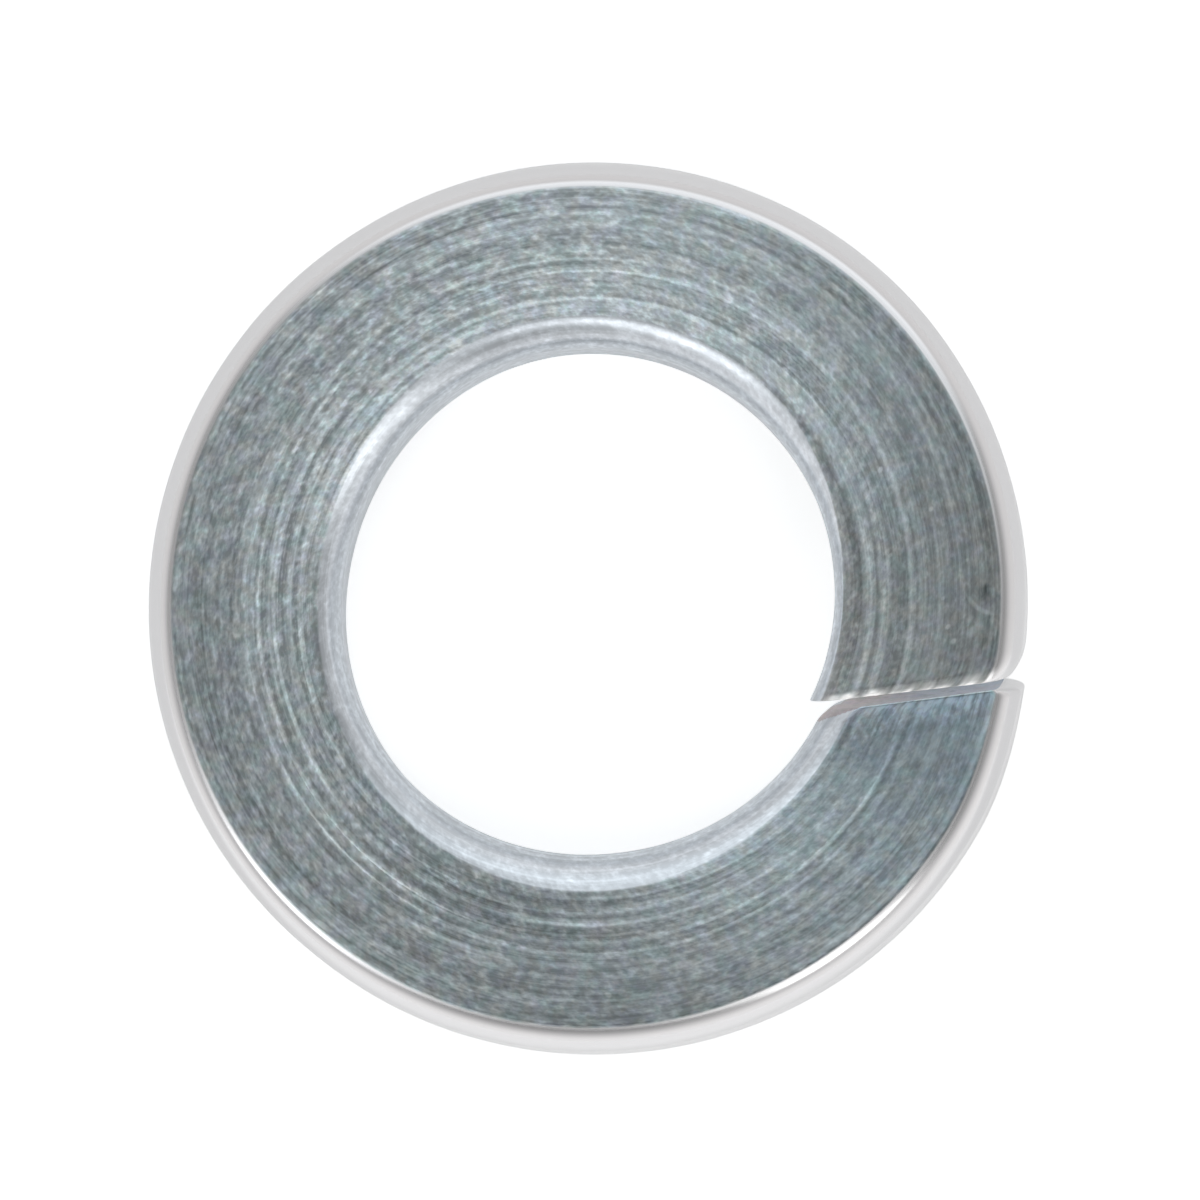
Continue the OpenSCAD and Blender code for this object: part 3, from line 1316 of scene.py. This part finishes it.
        base = sheet.mix(satin, sheet.mix(at_rim, self.bore_plate, self.rim_plate), self.plate)
        near_low = sheet.between(along, 0.0, self.end_reach, 1.0, 0.0)
        near_high = sheet.between(along, self.washer.length - self.end_reach, self.washer.length)
        for near, end_tint in ((near_low, self.low_tint), (near_high, self.high_tint)):
            share = sheet.math("MULTIPLY", near, satin)
            base = sheet.mix(share, base, sheet.mix(1.0, base, end_tint, "MULTIPLY"))
        tinted = tint.use(sheet, Place=place, Plate=base, Amount=satin).outputs["Color"]

        shade = sheet.math("MULTIPLY_ADD", plating.outputs["Shade"], self.grain_shade, 1.0)
        shade = sheet.math("MULTIPLY_ADD", line, self.line_shade, shade)
        shade = sheet.math("MULTIPLY_ADD", wide, self.band_shade, shade)
        shade = sheet.math("MAXIMUM", shade, self.darkest)
        at_bore = sheet.math("SUBTRACT", 1.0, at_rim)
        mottle = sheet.math("MULTIPLY", sheet.math("SUBTRACT", shade, 1.0), at_bore)
        burnished = sheet.math("MULTIPLY_ADD", mottle, self.bore_shade, 1.0)
        # Multiplied by the painted light and shade that the mesh carries.
        shade = sheet.math("MULTIPLY", sheet.math("ADD", shade, self.mark_light(sheet, wire)), painted_sheen)
        shade = sheet.math("SUBTRACT", sheet.math("MINIMUM", shade, self.brightest), burnished)
        shade = sheet.math("MULTIPLY_ADD", shade, satin, burnished)
        # Where torn, the plate turns near white: painted glints on the lip, its beads and the frayed face.
        colour = sheet.mix(torn, sheet.scaled(tinted, shade), self.torn_glint_plate)

        grainy = sheet.math("MULTIPLY", plating.outputs["Shade"], satin)
        rough = self.roughness(sheet, polish, at_rim, torn, grainy)
        sheet.metal(colour, rough, sheet.bump(height))
        return made

    def lines(self, sheet: Sheet, wire: bpy.types.NodeSocket) -> list[bpy.types.NodeSocket]:
        """The lines that drawing left, from noises drawn out along the wire and clear only in patches.

        Args:
            sheet: The material's sheet.
            wire: The straight wire's own coordinates.

        Returns:
            The fine lines and the broad streaks, each a value about 0.
        """
        patches = sheet.noise(sheet.vector("MULTIPLY", wire, self.line_patches), 1.0, 1.0)
        clear = sheet.between(patches, *self.patch_edge, self.faint_lines, 1.0)
        found = []
        for waves, detail, rough in ((self.fine_lines, 3.0, 0.62), (self.broad_lines, 2.0, 0.5)):
            lines = sheet.noise(sheet.vector("MULTIPLY", wire, waves), 1.0, detail, rough)
            found.append(sheet.math("MULTIPLY", sheet.math("SUBTRACT", lines, 0.5), clear))
        return found

    def roughness(
        self,
        sheet: Sheet,
        polish: bpy.types.NodeSocket,
        at_rim: bpy.types.NodeSocket,
        torn: bpy.types.NodeSocket,
        grainy: bpy.types.NodeSocket,
    ) -> bpy.types.NodeSocket:
        """The plate's roughness: the face's, the rim's or the bore's, a little uneven, and more where torn.

        Args:
            sheet: The material's sheet.
            polish: How burnished the plate is.
            at_rim: How near the rim the place is, from 0 to 1.
            torn: How torn the plate is.
            grainy: The grain's shade where the face is satin.

        Returns:
            The roughness.
        """
        face_share = sheet.between(polish, *self.rough_until, 1.0, 0.0)
        edge = sheet.between(at_rim, 0.0, 1.0, self.bore_roughness, self.rim_roughness)
        above_edge = sheet.math("SUBTRACT", self.face_roughness, edge)
        rough = sheet.math("MULTIPLY_ADD", above_edge, face_share, edge)
        rough = sheet.math("MULTIPLY_ADD", grainy, self.grain_gloss, rough)
        rougher = sheet.math("SUBTRACT", self.torn_roughness, rough)
        return sheet.math("MULTIPLY_ADD", rougher, torn, rough)


@dataclass(frozen=True)
class ShearedZinc:
    """Zinc plate over a sheared face: finely scored, in a lavender grey darkened as painted shade for the
    gap between the ends.

    Attributes:
        plate: Colour that the plate reflects, darkened as painted shade for the gap between the ends.
        bore_plate: The same towards the bore.
        bore_reach: Distances from the axis between which one turns into the other, in mm.
        roughness: Its roughness.
        crystal: Size of the plate's grain, in mm.
        grain_depth: Height of that grain, in mm.
        score_depth: Height of the scores that the shear left, in mm.
        score_waves: Waves per mm of those scores, along X, along Y and up.
        grain_shade: How much the grain changes the plate's brightness.
        score_shade: How much the scores change it.
        grain_gloss: How much the grain changes the roughness.
    """

    # Darker than the drawn plate's edges: painted shade for the gap under the high end.
    plate: Colour = (0.415, 0.45, 0.515)
    bore_plate: Colour = (0.52, 0.47, 0.475)
    bore_reach: Span = (3.3, 4.6)
    roughness: float = 0.45
    crystal: float = 0.03
    grain_depth: float = 0.004
    score_depth: float = 0.003
    score_waves: tuple[float, float, float] = (13.0, 13.0, 0.9)
    grain_shade: float = 0.4
    score_shade: float = 0.4
    grain_gloss: float = 0.2

    def material(self, grain: Effect, tint: Effect) -> bpy.types.Material:
        """Builds the material.

        Args:
            grain: The plate's grain.
            tint: The plate's faint colours.

        Returns:
            The material.
        """
        made = bpy.data.materials.new("sheared_zinc")
        made.use_nodes = True
        sheet = Sheet(made.node_tree)
        place = sheet.place()
        scores = sheet.noise(sheet.vector("MULTIPLY", place, self.score_waves), 1.0, 3.0, 0.6)
        plating = grain.use(sheet, Place=place, Crystal=self.crystal, Depth=self.grain_depth)
        score = sheet.math("SUBTRACT", scores, 0.5)
        height = sheet.math("MULTIPLY_ADD", score, self.score_depth, plating.outputs["Height"])
        wire = sheet.attribute(WIRE_COORDINATES).outputs["Vector"]
        radius = sheet.node("SeparateXYZ", {0: wire}).outputs["Y"]
        base = sheet.mix(sheet.between(radius, *self.bore_reach), self.bore_plate, self.plate)
        tinted = tint.use(sheet, Place=place, Plate=base, Amount=1.0).outputs["Color"]
        shade = sheet.math("MULTIPLY_ADD", plating.outputs["Shade"], self.grain_shade, 1.0)
        shade = sheet.math("MULTIPLY_ADD", score, self.score_shade, shade)
        colour = sheet.scaled(tinted, shade)
        rough = sheet.math("MULTIPLY_ADD", plating.outputs["Shade"], self.grain_gloss, self.roughness)
        sheet.metal(colour, rough, sheet.bump(height))
        return made


@dataclass(frozen=True)
class RestingPlane:
    """The plane that the washer lies on.

    Attributes:
        normal: Unit vector out of the plane.
        offset: Distance of the plane from the origin along that vector, in mm.
    """

    normal: np.ndarray
    offset: float

    @classmethod
    def under(cls, points: np.ndarray, triangles: np.ndarray) -> "RestingPlane":
        """Finds the plane on which a body comes to rest: the one that holds its weight lowest.

        Over a fan of directions near +Z, closing in on the best one in steps, the height of the
        centre of mass over the supporting plane is at its least.

        Args:
            points: Vertices of the closed body, in mm.
            triangles: Its triangles.

        Returns:
            The plane.
        """
        corner = points[triangles]
        volume = np.einsum("ij,ij->i", corner[:, 0], np.cross(corner[:, 1], corner[:, 2]))
        weight = (corner.sum(axis=1) * volume[:, None]).sum(axis=0) / (4.0 * volume.sum())
        rounds, tries, closing = 9, 21, 4.0
        best, reach = np.zeros(2), 0.22
        for _ in range(rounds):
            steps = np.linspace(-reach, reach, tries)
            leans = best + np.stack(np.meshgrid(steps, steps), axis=-1).reshape(-1, 2)
            normals = np.concatenate([leans, np.ones((len(leans), 1))], axis=1)
            normals /= np.linalg.norm(normals, axis=1, keepdims=True)
            heights = ((weight - points) @ normals.T).max(axis=0)
            best, reach = leans[heights.argmin()], reach / closing
        normal = unit(np.array([*best, 1.0]))
        return cls(normal, float((points @ normal).min()))


@dataclass(frozen=True)
class SoftLamp:
    """A large soft light panel, curved round the washer. All angles are in degrees.

    Attributes:
        azimuth: Its direction in the picture, anticlockwise from the right.
        spread: Half the angle that it spans in azimuth.
        side_fade: Angle over which its two sides fade.
        inner: Angle between the line of sight and its near edge.
        outer: Angle between the line of sight and its far edge.
        fade: Angle over which those two edges fade.
        light: Its brightness and colour.
    """

    azimuth: float
    spread: float
    side_fade: float
    inner: float
    outer: float
    fade: float
    light: Colour


@dataclass(frozen=True)
class Studio:
    """The pale floor, the soft light round the washer, and the camera over it.

    Attributes:
        plane: The plane that the washer lies on.
        view_lean: Lean of the line of sight from the ring's axis, in degrees.
        view_towards: Direction of that lean, anticlockwise from +X seen from above.
        picture_turn: Angle from +X to the right-hand side of the picture.
        picture_width: Width that the picture shows, in mm.
        picture_shift: How far the picture's middle lies right of and over the washer's, in mm.
        camera_distance: Distance of the camera from the washer, in mm.
        floor_radius: Radius of the floor, in mm.
        floor_first: Radius of the floor's innermost ring of points, in mm.
        floor_rings: Number of its rings.
        floor_sides: Number of points in each ring.
        floor_glow: Light that the floor gives of itself.
        floor_lift: What it gives more to the camera, so that it stays white in the picture.
        front_glow: What it gives more beyond the washer towards the bottom of the picture.
        front_reach: Distances from the middle over which that sets in, in mm.
        overhead: Light from behind the camera.
        horizon: Light from the sides.
        horizon_rise: Angles from the line of sight over which one turns into the other, in degrees.
        lamps: The light panels.
    """

    plane: RestingPlane
    view_lean: float = 5.9
    view_towards: float = -43.0
    picture_turn: float = 13.7
    picture_width: float = 15.36
    picture_shift: Span = (0.117, 0.080)
    camera_distance: float = 200.0
    floor_radius: float = 900.0
    floor_first: float = 2.0
    floor_rings: int = 48
    floor_sides: int = 96
    floor_glow: float = 0.25
    floor_lift: float = 0.30
    front_glow: float = 0.24
    front_reach: Span = (4.5, 9.0)
    overhead: Colour = (0.345, 0.35, 0.35)
    horizon: Colour = (0.96, 0.95, 0.952)
    horizon_rise: Span = (38.0, 78.0)
    lamps: tuple[SoftLamp, ...] = (
        SoftLamp(90.0, 34.0, 16.0, 14.0, 62.0, 14.0, (0.84, 0.89, 0.93)),
        SoftLamp(217.0, 8.0, 10.0, 8.0, 50.0, 8.0, (2.9, 2.95, 3.0)),
        SoftLamp(314.0, 7.0, 11.0, 9.0, 56.0, 8.0, (2.5, 2.5, 2.5)),
        SoftLamp(275.0, 62.0, 36.0, 76.0, 104.0, 24.0, (0.25, 0.25, 0.25)),
    )

    def axes(self) -> tuple[np.ndarray, np.ndarray, np.ndarray]:
        """The picture's own axes.

        Returns:
            Unit vectors to its right, upwards in it, and from the washer to the camera.
        """
        back = direction(self.view_towards, self.view_lean)
        turn = math.radians(self.picture_turn)
        level = np.array([math.cos(turn), math.sin(turn), 0.0])
        right = unit(level - back * (level @ back))
        return right, np.cross(back, right), back

    def lay_floor(self) -> bpy.types.Object:
        """Makes the floor: rings of a disc in the resting plane, closer together near the washer.

        Returns:
            The floor's object.
        """
        across = unit(np.cross(self.plane.normal, np.array([0.0, 1.0, 0.0])))
        along = np.cross(self.plane.normal, across)
        turn = 2.0 * math.pi * np.arange(self.floor_sides) / self.floor_sides
        rings = np.geomspace(self.floor_first, self.floor_radius, self.floor_rings)[:, None, None]
        spokes = np.cos(turn)[:, None] * across + np.sin(turn)[:, None] * along
        middle = self.plane.normal * self.plane.offset
        points = np.concatenate([(middle + rings * spokes).reshape(-1, 3), middle[None]])
        spot = np.arange(self.floor_sides)
        fan = np.stack([spot, (spot + 1) % self.floor_sides, np.full_like(spot, len(points) - 1)], axis=1)
        faces = ring_quads(self.floor_rings, self.floor_sides).tolist() + fan.tolist()
        mesh = bpy.data.meshes.new("floor")
        mesh.from_pydata((points * MM).tolist(), [], faces)
        floor = bpy.data.objects.new("floor", mesh)
        bpy.context.scene.collection.objects.link(floor)
        floor.data.materials.append(self.floor_paint())
        return floor

    def floor_paint(self) -> bpy.types.Material:
        """White matt paint, with a little light of its own so that it stays white in the picture.

        Returns:
            The material.
        """
        made = bpy.data.materials.new("pale_floor")
        made.use_nodes = True
        sheet = Sheet(made.node_tree)
        seen = sheet.node("LightPath").outputs["Is Camera Ray"]
        down = sheet.dot(sheet.node("TexCoord").outputs["Object"], -self.axes()[1])
        front = sheet.between(down, self.front_reach[0] * MM, self.front_reach[1] * MM)
        front = sheet.math("MULTIPLY", front, sheet.math("SUBTRACT", 1.0, seen))
        glow = sheet.math("MULTIPLY_ADD", front, self.front_glow, self.floor_glow)
        glow = sheet.math("MULTIPLY_ADD", seen, self.floor_lift, glow)
        shader = sheet.node(
            "BsdfPrincipled",
            {
                "Base Color": (0.8, 0.8, 0.8, 1.0),
                "Roughness": 0.9,
                "Emission Color": (1.0, 1.0, 1.0, 1.0),
                "Emission Strength": glow,
            },
        )
        sheet.end(shader)
        return made

    def light(self) -> None:
        """Lights the scene from all round: dim and cool overhead, bright towards the horizon.

        The brightness goes by the angle from the line of sight, and each lamp adds a soft patch
        by the angle from its middle.
        """
        right, up, back = self.axes()
        world = bpy.data.worlds.new("studio")
        world.use_nodes = True
        bpy.context.scene.world = world
        sheet = Sheet(world.node_tree)
        towards = sheet.node("TexCoord").outputs["Generated"]
        polar = sheet.math("DEGREES", sheet.math("ARCCOSINE", sheet.dot(towards, back)))
        level = sheet.math("SINE", sheet.math("RADIANS", polar))
        colour = sheet.mix(sheet.between(polar, *self.horizon_rise), self.overhead, self.horizon)
        for lamp in self.lamps:
            azimuth = math.radians(lamp.azimuth)
            flat = math.cos(azimuth) * right + math.sin(azimuth) * up
            aside = sheet.math("ARCCOSINE", sheet.math("DIVIDE", sheet.dot(towards, flat), level))
            aside = sheet.math("DEGREES", aside)
            patch = sheet.between(aside, lamp.spread, lamp.spread + lamp.side_fade, 1.0, 0.0)
            near = sheet.between(polar, lamp.inner - lamp.fade / 2.0, lamp.inner + lamp.fade / 2.0)
            far = sheet.between(polar, lamp.outer - lamp.fade / 2.0, lamp.outer + lamp.fade / 2.0, 1.0, 0.0)
            patch = sheet.math("MULTIPLY", patch, sheet.math("MULTIPLY", near, far))
            colour = sheet.mix(patch, colour, sheet.mix(1.0, colour, lamp.light, "ADD"))
        shader = sheet.node("Background", {"Color": colour, "Strength": 1.0})
        sheet.end(shader, "World")

    def place_camera(self) -> bpy.types.Object:
        """Hangs the camera over the washer, square to the picture.

        Returns:
            The camera's object.
        """
        right, up, back = self.axes()
        target = right * self.picture_shift[0] + up * self.picture_shift[1]
        data = bpy.data.cameras.new("camera")
        data.sensor_width = 36.0
        data.lens = data.sensor_width * self.camera_distance / self.picture_width
        data.clip_start, data.clip_end = 0.01, 2.0
        camera = bpy.data.objects.new("camera", data)
        turned = Matrix(np.stack([right, up, back], axis=1).tolist()).to_4x4()
        place = Vector((target + back * self.camera_distance) * MM)
        camera.matrix_world = Matrix.Translation(place) @ turned
        bpy.context.scene.collection.objects.link(camera)
        bpy.context.scene.camera = camera
        return camera


def bore_radius(record: dict) -> float:
    """The radius of the washer's bore, in mm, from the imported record's mount."""
    bores = [mount for mount in record["mounts"] if mount["kind"] == "bore"]
    return float(bores[0]["dims"]["r_mm"])


def main() -> None:
    """Builds the washer, dresses it, and sets the studio round it."""
    logging.basicConfig(level=logging.INFO, format="%(name)s: %(message)s")
    lowest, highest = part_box(NODE)
    washer = LockWasher(bore_r=bore_radius(frame["record"]), rim_r=highest.y / MM)
    coil = washer.build()
    grain, tint = plate_grain(), plate_tint()
    coil.data.materials.append(DrawnZinc(washer).material(grain, tint))
    coil.data.materials.append(ShearedZinc().material(grain, tint))
    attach(coil, "root")
    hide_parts(NODE)
    log.info("coil: %d vertices, %d faces", len(coil.data.vertices), len(coil.data.polygons))

    plane = RestingPlane.under(washer.points, washer.triangles(coil.data))
    lean = math.degrees(math.acos(plane.normal[2]))
    log.info("resting plane: leans %.2f degrees, offset %.3f mm", lean, plane.offset)
    studio = Studio(plane)
    studio.lay_floor()
    studio.light()
    studio.place_camera()
    bpy.context.scene.view_settings.view_transform = "Standard"
    log.info("studio: floor, light and camera in place")


if __name__ == "__main__":
    main()
